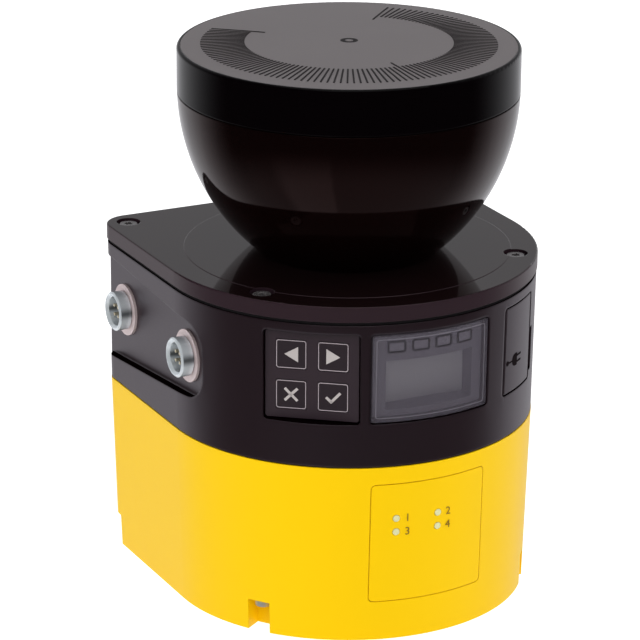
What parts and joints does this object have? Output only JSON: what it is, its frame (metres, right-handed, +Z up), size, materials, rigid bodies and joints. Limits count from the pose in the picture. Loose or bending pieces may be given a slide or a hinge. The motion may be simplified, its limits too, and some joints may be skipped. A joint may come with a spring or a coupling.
{
  "type": "safety laser scanner",
  "caption": "Compact safety laser scanner: yellow drafted base, black housing with keypad, display, service flap and side sockets, and a glossy hood over a rotating mirror.",
  "frame": {"origin": "centre of the foot on the scan axis, on the plane the base stands on", "axes": "+Z up along the scan axis, -Y towards the front with the display, +X away from the side with the sockets"},
  "size_m": [0.1135, 0.1111, 0.165],
  "materials": {
    "yellow_case": "satin",
    "black_case": "satin",
    "lid": "satin",
    "hood": "polished",
    "disc": "matte",
    "panel": "satin",
    "window": "smoky",
    "dark_plastic": "matte",
    "lcd": "dull",
    "lens_plastic": "clear",
    "light": "clear",
    "nickel": "bright",
    "washer": "satin",
    "steel": "satin",
    "black_steel": "blackened",
    "brass": "plated",
    "rubber": "matte",
    "board": "solder mask",
    "aluminium": "machined",
    "dark_aluminium": "black anodised",
    "glass": "clear",
    "mirror": "polished",
    "copper": "enamelled",
    "magnet": "plain"
  },
  "bodies": {
    "housing": {"base_housing": "yellow_case", "bottom_cover": "black_case", "bottom_screws": "steel", "base_screws": "steel", "status_plate": "yellow_case", "status_lights": "light", "base_seal": "rubber", "upper_housing": "black_case", "lid_seal": "rubber", "housing_lid": "lid", "lid_screws": "black_steel", "socket_barrels": "nickel", "socket_flanges": "washer", "socket_inserts": "dark_plastic", "socket_contacts": "brass", "socket_nuts": "nickel", "socket_board": "board", "keypad_plate": "panel", "key_board": "board", "display_window": "window", "display_bezel": "dark_plastic", "status_lenses": "lens_plastic", "lcd_module": "lcd", "port_socket": "steel", "port_tongue": "dark_plastic", "power_board": "board", "main_board": "board", "board_spacers": "steel", "optics_tube": "dark_aluminium", "receiver_lens": "glass", "laser_collimator": "aluminium", "detector_board": "board", "optics_hood": "hood", "hood_seal": "rubber", "hood_cap": "hood", "scale_disc": "disc", "motor_mount": "aluminium", "bearings": "steel", "motor_stator": "copper", "encoder_reader": "dark_plastic"},
    "rotor": {"rotor_shaft": "steel", "rotor_cup": "aluminium", "magnet_ring": "magnet", "encoder_disc": "steel", "mirror_carrier": "dark_aluminium", "scan_mirror": "mirror"},
    "key_left": {"key_left": "panel"},
    "key_right": {"key_right": "panel"},
    "key_cancel": {"key_cancel": "panel"},
    "key_confirm": {"key_confirm": "panel"},
    "port_cover": {"port_cover": "black_case"}
  },
  "joints": [
    {"name": "rotor_spin", "type": "hinge", "parent": "housing", "child": "rotor", "pos_m": [0, 0, 0.124], "axis": [0, 0, 1], "continuous": true},
    {"name": "key_left_press", "type": "slide", "parent": "housing", "child": "key_left", "axis": [0.6088, 0.7934, 0], "range_m": [0, 0.0004], "stiffness_N_per_m": 400},
    {"name": "key_right_press", "type": "slide", "parent": "housing", "child": "key_right", "axis": [0.6088, 0.7934, 0], "range_m": [0, 0.0004], "stiffness_N_per_m": 400},
    {"name": "key_cancel_press", "type": "slide", "parent": "housing", "child": "key_cancel", "axis": [0.6088, 0.7934, 0], "range_m": [0, 0.0004], "stiffness_N_per_m": 400},
    {"name": "key_confirm_press", "type": "slide", "parent": "housing", "child": "key_confirm", "axis": [0.6088, 0.7934, 0], "range_m": [0, 0.0004], "stiffness_N_per_m": 400},
    {"name": "port_cover_hinge", "type": "hinge", "parent": "housing", "child": "port_cover", "pos_m": [0.0263, -0.04785, 0.0809], "axis": [-0.0073, 0.0133, -0.9999], "range_deg": [0, 95]}
  ]
}
